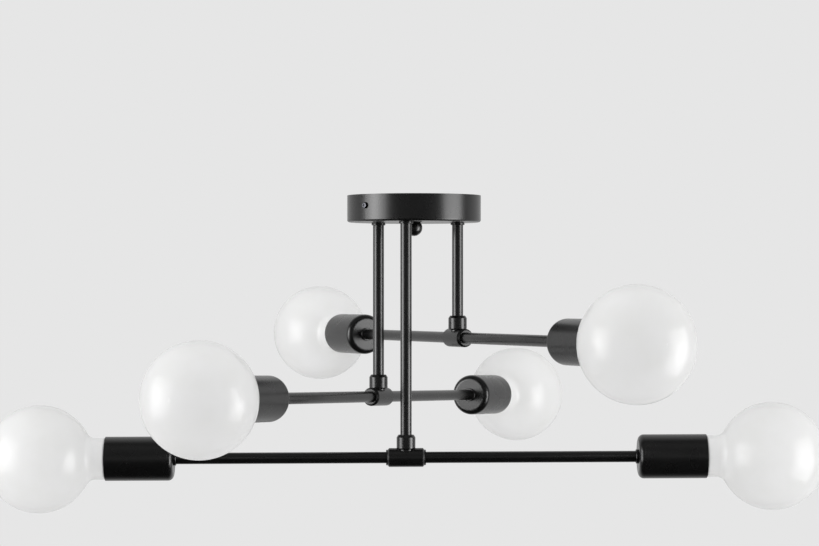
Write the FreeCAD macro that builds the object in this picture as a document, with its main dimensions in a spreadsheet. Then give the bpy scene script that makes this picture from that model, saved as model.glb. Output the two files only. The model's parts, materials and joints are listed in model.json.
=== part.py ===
"""Ceiling light: a round canopy, three hanging stems, and three long arms with a globe bulb at each end.

The origin is the centre of the canopy's top plane, which lies on the ceiling. Z points up and X along the
lowest arm. The arms swivel about their stems. Every size is in millimetres and every angle in degrees.
"""
import FreeCAD
import Part
import Sketcher
import math
import os
import re

SIZES = {
    # Canopy, a pressed steel cup that is open towards the ceiling
    "canopy_radius": 60,
    "canopy_height": 24,
    "canopy_wall": 1.2,
    "canopy_edge": 2,
    # Stems, as far inside the canopy's edge, and how far each arm hangs under the ceiling
    "stem_inset": 18,
    "upper_drop": 128,
    "middle_drop": 181.8,
    "lower_drop": 232.3,
    # Tube of the stems and rods, and its threaded ends
    "tube_radius": 5,
    "tube_wall": 1,
    "tube_bevel": 0.4,
    "thread_depth": 9,
    "thread_end": 1.5,
    # Swivel of a stem in the canopy floor
    "swivel_play": 0.06,
    "swivel_gap": 0.1,
    "collar_radius": 6.3,
    "collar_height": 2,
    "collar_bevel": 0.4,
    "washer_radius": 8.5,
    "washer_height": 1,
    "tube_nut_flats": 14,
    "tube_nut_height": 4,
    "nut_bevel": 0.5,
    # Tee fitting that joins a stem and two rods
    "tee_wall": 3.3,
    "tee_half_length": 17.5,
    "tee_rise": 20,
    "tee_bevel": 1.5,
    "tee_end_bevel": 1.4,
    "tee_lip": 1.2,
    # Upright sleeve of the tee, as thick as the barrel and on a thinner neck
    "sleeve_start": 7.2,
    "sleeve_bevel": 2.2,
    "sleeve_foot": 0.8,
    "sleeve_foot_length": 1.2,
    "sleeve_neck_wall": 1.5,
    # Lamp cups at the ends of the rods
    "arm_reach": 204.5,
    "cup_length": 60,
    "cup_wall": 0.7,
    "cup_edge": 5,
    "cup_thread": 8,
    # Lampholder insert inside a cup
    "holder_play": 0.4,
    "holder_setback": 5,
    "holder_bevel": 1.6,
    "holder_floor": 24,
    "holder_wall": 3.3,
    "rod_tip_gap": 0.5,
    "core_hole_end": 20,
    # Screw shell and contact leaf of a lampholder
    "shell_gap": 0.2,
    "shell_sheet": 0.4,
    "shell_play": 0.4,
    "shell_lip_radius": 8,
    "shell_start": 2,
    "thread_pitch": 3.63,
    "thread_relief": 0.9,
    "leaf_sheet": 0.6,
    "leaf_width": 5,
    "leaf_foot": 6.5,
    "leaf_bend": 2.5,
    "leaf_tip": 2.5,
    "leaf_gap": 0.25,
    "leaf_crook": 0.3,
    # Globe bulb: its cap is measured from the tip of its contact, and its neck from the cap to the globe
    "bulb_tip": 28,
    "globe_radius": 47.5,
    "neck_length": 19.5,
    "glass_wall": 1,
    "neck_gap": 0.5,
    "neck_blend": 9,
    "neck_flare": 6,
    "throat_lift": 0.5,
    "tail_depth": 6,
    "tail_play": 0.3,
    "cap_length": 27,
    "cap_crest": 13.1,
    "cap_thread_height": 1,
    "cap_sheet": 0.5,
    "cap_skirt": 1.6,
    "insulator_top": 7,
    "insulator_plug": 2,
    "button_radius": 4.5,
    "button_height": 2,
    "button_bevel": 1,
    # Cables: a round jacket with four cores in each stem, two cores in each rod
    "jacket_radius": 2.5,
    "jacket_stub": 1.5,
    "jacket_end": 9,
    "core_radius": 0.75,
    "core_offset": 1.1,
    "core_bend": 6,
    "core_play": 0.1,
    "cable_gap": 0.1,
    # Mounting strap above the canopy, along its own axis
    "strap_width": 18,
    "strap_sheet": 2,
    "strap_gap": 0.3,
    "tab_depth": 16,
    "ceiling_hole_circle": 38,
    "ceiling_hole_radius": 2.5,
    # Centre stud, its nuts and the ball nut under the canopy
    "stud_radius": 3,
    "stud_bevel": 0.5,
    "stud_play": 0.2,
    "stud_nut_flats": 10,
    "stud_nut_height": 5,
    "ball_radius": 7.5,
    "ball_seat": 4.85,
    "ball_bore_depth": 8,
    "stud_in_ball": 7,
    # Pan head screws that hold the canopy to the strap's tabs
    "side_screw_depth": 10,
    "side_screw_radius": 1.5,
    "side_screw_length": 9,
    "side_screw_play": 0.2,
    "side_head_radius": 2.8,
    "side_head_height": 1.9,
    "side_head_round": 0.9,
    "recess_width": 0.8,
    "recess_length": 3,
    "recess_depth": 1,
    # Terminal block under the strap
    "block_start": 8,
    "block_depth": 12,
    "block_width": 28,
    "block_height": 11,
    "block_round": 1,
    "pole_spacing": 9,
    "pole_setback": 3,
    "clamp_well_radius": 2.3,
    "clamp_well_depth": 3,
    "clamp_radius": 2,
    "clamp_height": 2,
    "clamp_slot": 0.7,
    "block_screw_setback": 3.2,
    "block_screw_well_depth": 4,
    # Small pan head screws in the strap
    "small_screw_radius": 1.5,
    "small_head_radius": 2.6,
    "small_head_height": 1.6,
    "small_head_round": 0.7,
    "small_screw_tip_gap": 0.2,
    "screw_tip_bevel": 0.4,
    # Earth screw, its ring tag and the earth lead
    "earth_place": 22,
    "tag_radius": 4,
    "tag_sheet": 0.8,
    "tag_tail": 7,
    "earth_core_radius": 0.9,
    "earth_first_run": 3.7,
    "earth_second_turn": 5.5,
    "earth_detour": 11,
    "earth_bend": 5,
    # Cables inside the canopy
    "cable_height": 9,
    "cable_bend": 5.5,
    "cable_entry": 5,
    "cable_block_run": 9,
    # How far a cutting shape reaches past what it cuts
    "overrun": 5,
}
ANGLES = {
    # Direction of the first stem from the canopy's centre; the others follow a third of a turn apart
    "stem_turn": 20,
    # Directions of the arms at rest, and how far each right end droops, as the tees are tapped off square
    "upper_turn": -65.5,
    "middle_turn": 64.5,
    "upper_droop": -0.16,
    "middle_droop": 1.85,
    "lower_droop": -0.25,
    "strap_turn": -136,
}

# Each arm: the size of its drop, and sums for the place of its stem, its direction and its droop
ARMS = {
    "upper": ("upper_drop", "stem_turn", "upper_turn", "upper_droop"),
    "middle": ("middle_drop", "stem_turn + 360 / 3", "middle_turn", "middle_droop"),
    "lower": ("lower_drop", "stem_turn - 360 / 3", "0", "lower_droop"),
}
# Each end of an arm, and the way from the arm's upright to that end's own axis
ENDS = {"left": "-90", "right": "90"}
THREAD_TURNS = 5

doc = FreeCAD.newDocument("ceiling_light")
sheet = doc.addObject("Spreadsheet::Sheet", "Sizes")
for row, (alias, number) in enumerate({**SIZES, **ANGLES}.items(), 1):
    sheet.set(f"A{row}", alias)
    sheet.set(f"B{row}", str(number))
    sheet.setAlias(f"B{row}", alias)
doc.recompute()
nodes = []


def bound(text):
    """The same sum with each size looked up in the spreadsheet."""
    return re.sub(r"[a-z]+(_[a-z]+)+|overrun", lambda found: "Sizes." + found.group(), text)


def value(text):
    """What a sum of sizes comes to."""
    return float(sheet.evalExpression(text))


def bind(thing, **sums):
    """Ties properties of an object to sums of sizes."""
    for name, text in sums.items():
        thing.setExpression(name, bound(text))
    return thing


def shift(x="0", y="0", z="0"):
    """A move by the given sums."""
    return f"placement(vector({x}; {y}; {z}); rotation(vector(0; 0; 1); 0))"


def turn(axis, angle):
    """A turn about one of the axes."""
    direction = {"x": "1; 0; 0", "y": "0; 1; 0", "z": "0; 0; 1"}[axis]
    return f"placement(vector(0; 0; 0); rotation(vector({direction}); {angle}))"


def place(thing, *steps):
    """Puts an object where the steps lead, the first one last."""
    if steps:
        bind(thing, Placement=" * ".join(steps))
    return thing


def node(name, thing):
    """Makes an object one of the sub-parts that are written out."""
    thing.Label = name
    nodes.append(thing)
    return thing


def group(name, things):
    """Several solids under one name."""
    together = doc.addObject("Part::Compound", name + "_group")
    together.Links = things
    return node(name, together)


def plane_of(body, role):
    """One of a body's own origin planes."""
    return next(feature for feature in body.Origin.OriginFeatures if feature.Role == role)


def new_sketch(body, name, role):
    """An empty sketch on one of the body's planes."""
    sketch = body.newObject("Sketcher::SketchObject", name)
    sketch.AttachmentSupport = [(plane_of(body, role), "")]
    sketch.MapMode = "FlatFace"
    return sketch


def pin_point(sketch, geometry, point, across, up):
    """Holds a point of a sketch at the place that two sums give."""
    for kind, axis, text in (("DistanceX", -2, across), ("DistanceY", -1, up)):
        if text == "0":
            sketch.addConstraint(Sketcher.Constraint("PointOnObject", geometry, point, axis))
        else:
            number = sketch.addConstraint(Sketcher.Constraint(kind, -1, 1, geometry, point, value(text)))
            sketch.setExpression(f"Constraints[{number}]", bound(text))


def draw_outline(sketch, outline, arc_centre=""):
    """A closed outline through points that sums give, of straight lines.

    With the height of an arc's centre on the axis, the side from the last point to the first is that arc.
    """
    corners = [FreeCAD.Vector(value(across), value(up), 0) for across, up in outline]
    first = sketch.GeometryCount
    last = first + len(outline) - 1
    for start, end in zip(corners, corners[1:] + corners[:1]):
        sketch.addGeometry(Part.LineSegment(start, end))
    if arc_centre:
        sketch.delGeometry(last)
        centre = FreeCAD.Vector(0, value(arc_centre), 0)
        spoke = corners[-1] - centre
        circle = Part.Circle(centre, FreeCAD.Vector(0, 0, 1), spoke.Length)
        sketch.addGeometry(Part.ArcOfCircle(circle, math.atan2(spoke.y, spoke.x), math.pi / 2))
        pin_point(sketch, last, 3, "0", arc_centre)
    for number, (across, up) in enumerate(outline):
        following = first + (number + 1) % len(outline)
        sketch.addConstraint(Sketcher.Constraint("Coincident", first + number, 2, following, 1))
        if arc_centre and number == 0:
            sketch.addConstraint(Sketcher.Constraint("PointOnObject", first, 1, -2))
        else:
            pin_point(sketch, first + number, 1, across, up)


def draw_circle(sketch, across, up, radius):
    """A circle whose place and radius are sums of sizes."""
    centre = FreeCAD.Vector(value(across), value(up), 0)
    circle = sketch.addGeometry(Part.Circle(centre, FreeCAD.Vector(0, 0, 1), value(radius)))
    pin_point(sketch, circle, 3, across, up)
    number = sketch.addConstraint(Sketcher.Constraint("Radius", circle, value(radius)))
    sketch.setExpression(f"Constraints[{number}]", bound(radius))


def turned(name, outline, arc_centre=""):
    """A body turned about its own Z axis from an outline of radii and heights."""
    body = doc.addObject("PartDesign::Body", name)
    sketch = new_sketch(body, name + "_outline", "XZ_Plane")
    draw_outline(sketch, outline, arc_centre)
    feature = body.newObject("PartDesign::Revolution", name + "_turning")
    feature.Profile = sketch
    feature.ReferenceAxis = (sketch, ["V_Axis"])
    doc.recompute()
    return body


def padded(name, role, outline, length):
    """A body padded both ways from one of its planes."""
    body = doc.addObject("PartDesign::Body", name)
    sketch = new_sketch(body, name + "_outline", role)
    draw_outline(sketch, outline)
    feature = body.newObject("PartDesign::Pad", name + "_pad")
    feature.Profile = sketch
    feature.Midplane = True
    bind(feature, Length=length)
    doc.recompute()
    return body


def drilled(body, name, role, circles, depth, reverse=False):
    """Round holes from one of the body's planes to a depth, or through all of it where there is none."""
    sketch = new_sketch(body, name + "_circles", role)
    for across, up, radius in circles:
        draw_circle(sketch, across, up, radius)
    feature = body.newObject("PartDesign::Pocket", name)
    feature.Profile = sketch
    if depth:
        bind(feature, Length=depth)
        feature.Reversed = reverse
    else:
        feature.Type = "ThroughAll"
        feature.Midplane = True
    doc.recompute()


def rounded(body, name, radius, rings):
    """Rounds the circular edges of a body that lie on rings of a given radius and height."""
    wanted = [(value(ring_radius), value(height)) for ring_radius, height in rings]
    edges = []
    for number, edge in enumerate(body.Tip.Shape.Edges, 1):
        if edge.Degenerated or not isinstance(edge.Curve, Part.Circle):
            continue
        found = (edge.Curve.Radius, edge.Curve.Center.z)
        if any(math.dist(found, ring) < 1e-4 for ring in wanted):
            edges.append(f"Edge{number}")
    base = body.Tip
    feature = body.newObject("PartDesign::Fillet", name)
    feature.Base = (base, edges)
    bind(feature, Radius=radius)
    doc.recompute()


def tube(name, radius, wall, bevel, start, end):
    """A straight tube along Z with bevelled ends."""
    return turned(name, [
        (f"{radius} - {wall}", start), (f"{radius} - {bevel}", start), (radius, f"{start} + {bevel}"),
        (radius, f"{end} - {bevel}"), (f"{radius} - {bevel}", end), (f"{radius} - {wall}", end)])


def ring(name, bore, radius, start, height, bevel):
    """A flat ring along Z whose outer edges are bevelled."""
    end = f"{start} + {height}"
    return turned(name, [
        (bore, start), (f"{radius} - {bevel}", start), (radius, f"{start} + {bevel}"),
        (radius, f"{end} - {bevel}"), (f"{radius} - {bevel}", end), (bore, end)])


def hex_nut(name, flats, bore, start, height):
    """A hexagon nut along Z with bevelled corners."""
    corner = f"{flats} / sqrt(3)"
    end = f"{start} + {height}"
    round_part = turned(name + "_round", [
        (bore, start), (f"{flats} / 2", start), (corner, f"{start} + nut_bevel"),
        (corner, f"{end} - nut_bevel"), (f"{flats} / 2", end), (bore, end)])
    six_sides = doc.addObject("Part::Prism", name + "_sides")
    six_sides.Polygon = 6
    bind(six_sides, Circumradius=corner, Height=f"{height} + 2 * overrun")
    place(six_sides, shift(z=f"{start} - overrun"))
    nut = doc.addObject("Part::Common", name)
    nut.Base = six_sides
    nut.Tool = round_part
    return nut


def pan_screw(name, shank, length, head, height, edge):
    """A pan head screw with a cross recess: the head's seat is at zero and its shank points down."""
    body = turned(name, [
        ("0", f"-{length}"), (f"{shank} - screw_tip_bevel", f"-{length}"),
        (shank, f"screw_tip_bevel - {length}"), (shank, "0"), (head, "0"), (head, height), ("0", height)])
    rounded(body, name + "_round", edge, [(head, height)])
    sketch = new_sketch(body, name + "_cross", "XY_Plane")
    arm, half = "recess_length / 2", "recess_width / 2"
    draw_outline(sketch, [
        (f"-{arm}", f"-{half}"), (f"-{half}", f"-{half}"), (f"-{half}", f"-{arm}"), (half, f"-{arm}"),
        (half, f"-{half}"), (arm, f"-{half}"), (arm, half), (half, half), (half, arm), (f"-{half}", arm),
        (f"-{half}", half), (f"-{arm}", half)])
    bind(sketch, **{"AttachmentOffset.Base.z": height})
    recess = body.newObject("PartDesign::Pocket", name + "_recess")
    recess.Profile = sketch
    bind(recess, Length="recess_depth")
    doc.recompute()
    return body


def rounded_route(points, bend):
    """A wire of straight runs joined by tangent arcs."""
    edges = []
    start = points[0]
    for before, corner, after in zip(points, points[1:], points[2:]):
        incoming = (corner - before).normalize()
        outgoing = (after - corner).normalize()
        half_angle = incoming.getAngle(outgoing) / 2
        back = bend * math.tan(half_angle)
        arc_start = corner - incoming * back
        arc_end = corner + outgoing * back
        towards = (outgoing - incoming).normalize()
        middle = corner + towards * (bend / math.cos(half_angle) - bend)
        edges.append(Part.LineSegment(start, arc_start).toShape())
        edges.append(Part.Arc(arc_start, middle, arc_end).toShape())
        start = arc_end
    edges.append(Part.LineSegment(start, points[-1]).toShape())
    return Part.Wire(edges)


def pipe(points, radius, bend):
    """A round solid along a route, square to its first and last runs."""
    route = rounded_route(points, bend)
    section = Part.Wire([Part.Circle(points[0], points[1] - points[0], radius).toShape()])
    return route.makePipeShell([section], True, False)


def made(name, shape):
    """A sub-part whose shape is worked out here from the sizes."""
    feature = doc.addObject("Part::Feature", name + "_shape")
    feature.Shape = shape
    return node(name, feature)


def thread_points(start, low, high):
    """The zigzag of a rolled thread, from its first valley to its last."""
    points = [(low, start)]
    for count in range(THREAD_TURNS):
        points.append((high, f"{start} + {2 * count + 1} * thread_pitch / 2"))
        points.append((low, f"{start} + {2 * count + 2} * thread_pitch / 2"))
    return points


# Heights and depths that several pieces share
FLOOR = "(canopy_height - canopy_wall)"
STEM_CIRCLE = "(canopy_radius - stem_inset)"
STEM_NUT_START = f"swivel_gap + washer_height - {FLOOR}"
STEM_TOP = f"({STEM_NUT_START} + tube_nut_height + thread_end)"
CABLE_START = f"({STEM_TOP} + jacket_stub)"
TEE_RADIUS = "(tube_radius + tee_wall)"
CAP_ROOT = "(cap_crest - cap_thread_height)"
CAP_BORE = f"({CAP_ROOT} - cap_sheet)"
CAP_RIM = "(cap_length - cap_skirt)"
# The cap's thread sets the screw shell, and the holder, the cup and the globe's neck go round it
SHELL_CREST = "(cap_crest + shell_gap)"
SHELL_ROOT = f"({SHELL_CREST} + thread_relief)"
HOLDER_BORE = f"({SHELL_ROOT} + shell_sheet + shell_play)"
HOLDER_RADIUS = f"({HOLDER_BORE} + holder_wall)"
HOLDER_START = "(cup_wall + tube_nut_height)"
HOLDER_END = "(bulb_tip + cap_length - holder_setback)"
CUP_BORE = f"({HOLDER_RADIUS} + holder_play)"
CUP_RADIUS = f"({CUP_BORE} + cup_wall)"
NECK_RADIUS = f"({CUP_BORE} - neck_gap)"
GLOBE_SEAM = "(cap_length + neck_length)"
GLOBE_CENTRE = f"({GLOBE_SEAM} + sqrt(globe_radius * globe_radius - {NECK_RADIUS} * {NECK_RADIUS}))"


def strap_place(*steps):
    """A place in the mounting strap's frame, whose X runs along the strap."""
    return (turn("z", "strap_turn"),) + steps


def stem_angle(arm):
    """The direction of an arm's stem seen from the canopy's centre, as a sum."""
    return ARMS[arm][1]


def stem_place(arm):
    """The place of an arm's stem, at the height of the ceiling."""
    angle = stem_angle(arm)
    return (shift(f"{STEM_CIRCLE} * cos({angle})", f"{STEM_CIRCLE} * sin({angle})"),)


def arm_place(arm):
    """The place of an arm's tee, with X along the arm."""
    drop, _, direction, droop = ARMS[arm]
    return stem_place(arm) + (shift(z=f"-{drop}"), turn("z", direction), turn("y", droop))


def end_place(arm, end, distance="0"):
    """A place on an arm with Z pointing out to that end, at a distance from the tee."""
    return arm_place(arm) + (turn("y", ENDS[end]), shift(z=distance))


def canopy():
    """The canopy: a cup with holes for three stems, the stud and two side screws."""
    stud_hole = "stud_radius + stud_play"
    body = turned("canopy_shell", [
        (stud_hole, "-canopy_height"), ("canopy_radius", "-canopy_height"), ("canopy_radius", "0"),
        ("canopy_radius - canopy_wall", "0"), ("canopy_radius - canopy_wall", f"-{FLOOR}"),
        (stud_hole, f"-{FLOOR}")])
    rounded(body, "canopy_outer_round", "canopy_edge", [("canopy_radius", "-canopy_height")])
    rounded(body, "canopy_inner_round", "canopy_edge - canopy_wall",
            [("canopy_radius - canopy_wall", f"-{FLOOR}")])
    holes = []
    for arm in ARMS:
        angle = f"({stem_angle(arm)} - strap_turn)"
        across, up = f"{STEM_CIRCLE} * cos({angle})", f"{STEM_CIRCLE} * sin({angle})"
        holes.append((across, up, "tube_radius + swivel_play"))
    drilled(body, "stem_holes", "XY_Plane", holes, "")
    drilled(body, "side_screw_holes", "YZ_Plane",
            [("0", "-side_screw_depth", "side_screw_radius + side_screw_play")], "")
    place(node("canopy", body), *strap_place())


def mounting_strap():
    """The strap that is screwed to the ceiling, with a bent tab at each end for a side screw."""
    inside = "(canopy_radius - canopy_wall - strap_gap)"
    half = f"sqrt({inside} * {inside} - strap_width * strap_width / 4)"
    body = padded("strap_body", "XZ_Plane", [
        (f"-{half}", "0"), (half, "0"), (half, "-tab_depth"), (f"{half} - strap_sheet", "-tab_depth"),
        (f"{half} - strap_sheet", "-strap_sheet"), (f"strap_sheet - {half}", "-strap_sheet"),
        (f"strap_sheet - {half}", "-tab_depth"), (f"-{half}", "-tab_depth")], "strap_width")
    drilled(body, "strap_holes", "XY_Plane", [
        ("0", "0", "stud_radius"),
        ("ceiling_hole_circle", "0", "ceiling_hole_radius"),
        ("-ceiling_hole_circle", "0", "ceiling_hole_radius"),
        ("block_start + block_screw_setback", "0", "small_screw_radius"),
        ("-earth_place", "0", "small_screw_radius")], "")
    drilled(body, "tab_holes", "YZ_Plane", [("0", "-side_screw_depth", "side_screw_radius")], "")
    place(node("mounting_strap", body), *strap_place())


def centre_fastening():
    """The stud through the strap, its two nuts, and the ball nut that closes the canopy."""
    stud_end = "(canopy_height + stud_in_ball)"
    stud = turned("stud_rod", [
        ("0", f"-{stud_end}"), ("stud_radius - stud_bevel", f"-{stud_end}"),
        ("stud_radius", f"stud_bevel - {stud_end}"), ("stud_radius", "-stud_bevel"),
        ("stud_radius - stud_bevel", "0"), ("0", "0")])
    node("centre_stud", stud)
    starts = {"top": "-strap_sheet - stud_nut_height", "floor": f"-{FLOOR}"}
    nuts = [hex_nut(f"stud_nut_{name}", "stud_nut_flats", "stud_radius", start, "stud_nut_height")
            for name, start in starts.items()]
    group("stud_nuts", [place(nut, *strap_place()) for nut in nuts])
    ball = doc.addObject("Part::Sphere", "ball")
    bind(ball, Radius="ball_radius", Angle2="asin(ball_seat / ball_radius)")
    bore = bind(doc.addObject("Part::Cylinder", "ball_bore"), Radius="stud_radius",
                Height="ball_bore_depth + overrun")
    place(bore, shift(z="ball_seat - ball_bore_depth"))
    drilled_ball = doc.addObject("Part::Cut", "ball_with_bore")
    drilled_ball.Base = ball
    drilled_ball.Tool = bore
    place(node("ball_nut", drilled_ball), shift(z="-canopy_height - ball_seat"))


def side_screws():
    """Two pan head screws through the canopy's side into the strap's tabs."""
    screws = []
    for side, angle in (("front", "0"), ("back", "180")):
        screw = pan_screw(f"side_screw_{side}", "side_screw_radius", "side_screw_length",
                          "side_head_radius", "side_head_height", "side_head_round")
        screws.append(place(screw, *strap_place(
            turn("z", angle), shift("canopy_radius", "0", "-side_screw_depth"), turn("y", "90"))))
    group("side_screws", screws)


def terminal_block():
    """A three pole terminal block under the strap, its clamp screws and its fixing screw."""
    half_depth, half_width = "block_depth / 2", "block_width / 2"
    body = doc.addObject("PartDesign::Body", "block_body")
    sketch = new_sketch(body, "block_outline", "XY_Plane")
    draw_outline(sketch, [(f"-{half_depth}", f"-{half_width}"), (half_depth, f"-{half_width}"),
                          (half_depth, half_width), (f"-{half_depth}", half_width)])
    pad = body.newObject("PartDesign::Pad", "block_pad")
    pad.Profile = sketch
    bind(pad, Length="block_height")
    doc.recompute()
    corners = [f"Edge{number}" for number, edge in enumerate(pad.Shape.Edges, 1)
               if abs(edge.Vertexes[0].Z - edge.Vertexes[-1].Z) > value("block_height") / 2]
    fillet = body.newObject("PartDesign::Fillet", "block_corners")
    fillet.Base = (pad, corners)
    bind(fillet, Radius="block_round")
    doc.recompute()
    pole = f"{half_depth} - pole_setback"
    poles = [(pole, f"{step} * pole_spacing" if step else "0") for step in (-1, 0, 1)]
    drilled(body, "clamp_wells", "XY_Plane", [place_of + ("clamp_well_radius",) for place_of in poles],
            "clamp_well_depth", reverse=True)
    fixing = f"block_screw_setback - {half_depth}"
    drilled(body, "fixing_well", "XY_Plane", [(fixing, "0", "small_head_radius")], "block_screw_well_depth",
            reverse=True)
    drilled(body, "fixing_hole", "XY_Plane", [(fixing, "0", "small_screw_radius")], "")
    bottom = "-strap_sheet - block_height"
    middle = f"block_start + {half_depth}"
    place(node("terminal_block", body), *strap_place(shift(middle, "0", bottom)))
    clamps = []
    for number, (across, along) in enumerate(poles):
        clamp = turned(f"clamp_{number}", [
            ("0", "0"), ("clamp_radius", "0"), ("clamp_radius", "clamp_height"), ("0", "clamp_height")])
        slot_sketch = new_sketch(clamp, f"clamp_slot_{number}", "XY_Plane")
        draw_outline(slot_sketch, [
            ("-clamp_radius - overrun", "-clamp_slot / 2"), ("clamp_radius + overrun", "-clamp_slot / 2"),
            ("clamp_radius + overrun", "clamp_slot / 2"), ("-clamp_radius - overrun", "clamp_slot / 2")])
        slot = clamp.newObject("PartDesign::Pocket", f"clamp_slot_cut_{number}")
        slot.Profile = slot_sketch
        slot.Reversed = True
        bind(slot, Length="clamp_slot")
        doc.recompute()
        clamps.append(place(clamp, *strap_place(
            shift(f"{middle} + {across}", along, f"{bottom} + clamp_well_depth - clamp_height"))))
    group("terminal_screws", clamps)
    length = "(block_height - block_screw_well_depth + strap_sheet - small_screw_tip_gap)"
    screw = pan_screw("fixing_screw", "small_screw_radius", length, "small_head_radius",
                      "small_head_height", "small_head_round")
    place(node("block_screw", screw), *strap_place(
        shift(f"{middle} + {fixing}", "0", f"{bottom} + block_screw_well_depth"), turn("x", "180")))


def earthing():
    """The earth screw in the strap, with a ring tag and a lead to the terminal block."""
    length = "(strap_sheet + tag_sheet - small_screw_tip_gap)"
    screw = pan_screw("earth_pan_screw", "small_screw_radius", length, "small_head_radius",
                      "small_head_height", "small_head_round")
    place(node("earth_screw", screw), *strap_place(
        shift("-earth_place", "0", "-strap_sheet - tag_sheet"), turn("x", "180")))
    disc = Part.makeCylinder(value("tag_radius"), value("tag_sheet"))
    tail = Part.makeBox(value("tag_tail"), value("2 * earth_core_radius"), value("tag_sheet"),
                        FreeCAD.Vector(0, -value("earth_core_radius"), 0))
    hole = Part.makeCylinder(value("small_screw_radius"), value("tag_sheet"))
    tag = disc.fuse(tail).removeSplitter().cut(hole)
    tag.translate(FreeCAD.Vector(-value("earth_place"), 0, -value("strap_sheet + tag_sheet")))
    level = -value("strap_sheet + tag_sheet + earth_core_radius")
    start = value("tag_tail - earth_place") - value("earth_core_radius")
    block_face = value("block_start")
    detour = value("earth_detour")
    first_turn = start + value("earth_first_run")
    second_turn = -value("earth_second_turn")
    lead = pipe([FreeCAD.Vector(start, 0, level), FreeCAD.Vector(first_turn, 0, level),
                 FreeCAD.Vector(second_turn, -detour, level), FreeCAD.Vector(block_face, -detour, level)],
                value("earth_core_radius"), value("earth_bend"))
    both = Part.makeCompound([tag, lead])
    place(made("earth_lead", both), *strap_place())


def canopy_cables():
    """Three jacketed cables, each from the end of a stem's cable to a side of the terminal block."""
    level = -value("cable_height")
    middle = value("block_start + block_depth / 2")
    side = value("block_width / 2")
    outer = value("block_start + block_depth")
    entry = value("cable_entry")
    run = value("cable_block_run")
    ends = {}
    for arm in ARMS:
        angle = math.radians(value(f"{stem_angle(arm)} - strap_turn"))
        circle = value(STEM_CIRCLE)
        ends[arm] = (circle * math.cos(angle), circle * math.sin(angle))
    routes = {
        "upper": [(0, side + run), (middle, side + run), (middle, side)],
        "middle": [(middle, -side - run), (middle, -side)],
        "lower": [(ends["lower"][0], entry), (outer, entry)],
    }
    cables = []
    for arm, (across, along) in ends.items():
        points = [FreeCAD.Vector(across, along, value(f"{CABLE_START} + cable_gap")),
                  FreeCAD.Vector(across, along, level)]
        points += [FreeCAD.Vector(x, y, level) for x, y in routes[arm]]
        cables.append(pipe(points, value("jacket_radius"), value("cable_bend")))
    place(made("canopy_cables", Part.makeCompound(cables)), *strap_place())


def stem(arm):
    """A stem tube, with the collar under the canopy and the washer and nut above its floor."""
    drop = ARMS[arm][0]
    rod = tube(f"{arm}_stem_tube", "tube_radius", "tube_wall", "tube_bevel",
               f"(tee_rise - thread_depth - {drop})", STEM_TOP)
    place(node(f"{arm}_stem", rod), *stem_place(arm))
    collar = ring(f"{arm}_collar", "tube_radius", "collar_radius",
                  "(-canopy_height - swivel_gap - collar_height)", "collar_height", "collar_bevel")
    washer = ring(f"{arm}_washer", "tube_radius", "washer_radius", f"(swivel_gap - {FLOOR})",
                  "washer_height", "tube_bevel")
    nut = hex_nut(f"{arm}_nut", "tube_nut_flats", "tube_radius", f"({STEM_NUT_START})", "tube_nut_height")
    group(f"{arm}_stem_nuts", [place(piece, *stem_place(arm)) for piece in (collar, washer, nut)])


def tee(arm):
    """A tee fitting: a barrel along the arm and an upright sleeve on it, bored for a stem and two rods."""
    droop = ARMS[arm][3]
    lip = f"{TEE_RADIUS} - tee_bevel"
    neck = "tube_radius + sleeve_neck_wall"
    shoulder = "(tee_half_length - tee_lip)"
    barrel = turned(f"{arm}_barrel", [
        ("0", "-tee_half_length"), (lip, "-tee_half_length"), (lip, f"-{shoulder}"),
        (TEE_RADIUS, f"tee_end_bevel - {shoulder}"), (TEE_RADIUS, f"{shoulder} - tee_end_bevel"),
        (lip, shoulder), (lip, "tee_half_length"), ("0", "tee_half_length")])
    place(barrel, turn("y", f"90 + {droop}"))
    sleeve = turned(f"{arm}_sleeve", [
        ("0", "0"), (neck, "0"), (neck, "sleeve_start"), (f"{TEE_RADIUS} - sleeve_foot", "sleeve_start"),
        (TEE_RADIUS, "sleeve_start + sleeve_foot_length"), (TEE_RADIUS, "tee_rise - sleeve_bevel"),
        (lip, "tee_rise"), ("0", "tee_rise")])
    solid = doc.addObject("Part::Fuse", f"{arm}_tee_solid")
    solid.Base = barrel
    solid.Tool = sleeve
    bores = []
    inner = "tube_radius - tube_wall"
    for way, angle in (("left", f"{droop} - 90"), ("right", f"{droop} + 90"), ("up", "0")):
        mouth = "tee_rise" if way == "up" else "tee_half_length"
        steps = (("thread", "tube_radius", f"({mouth} - thread_depth)"), ("bore", inner, "0"))
        for kind, radius, start in steps:
            cutter = doc.addObject("Part::Cylinder", f"{arm}_{way}_{kind}")
            bind(cutter, Radius=radius, Height=f"{mouth} - {start} + overrun")
            bores.append(place(cutter, turn("y", angle), shift(z=start)))
    hollow = doc.addObject("Part::MultiFuse", f"{arm}_tee_hollow")
    hollow.Shapes = bores
    fitting = doc.addObject("Part::Cut", f"{arm}_tee_fitting")
    fitting.Base = solid
    fitting.Tool = hollow
    drop, _, direction, _ = ARMS[arm]
    place(node(f"{arm}_tee", fitting), *stem_place(arm), shift(z=f"-{drop}"), turn("z", direction))


def rods(arm):
    """The two rods of an arm."""
    for end in ENDS:
        rod = tube(f"{arm}_{end}_rod_tube", "tube_radius", "tube_wall", "tube_bevel",
                   "(tee_half_length - thread_depth)", "(arm_reach + cup_thread)")
        place(node(f"{arm}_rod_{end}", rod), *end_place(arm, end))


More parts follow.
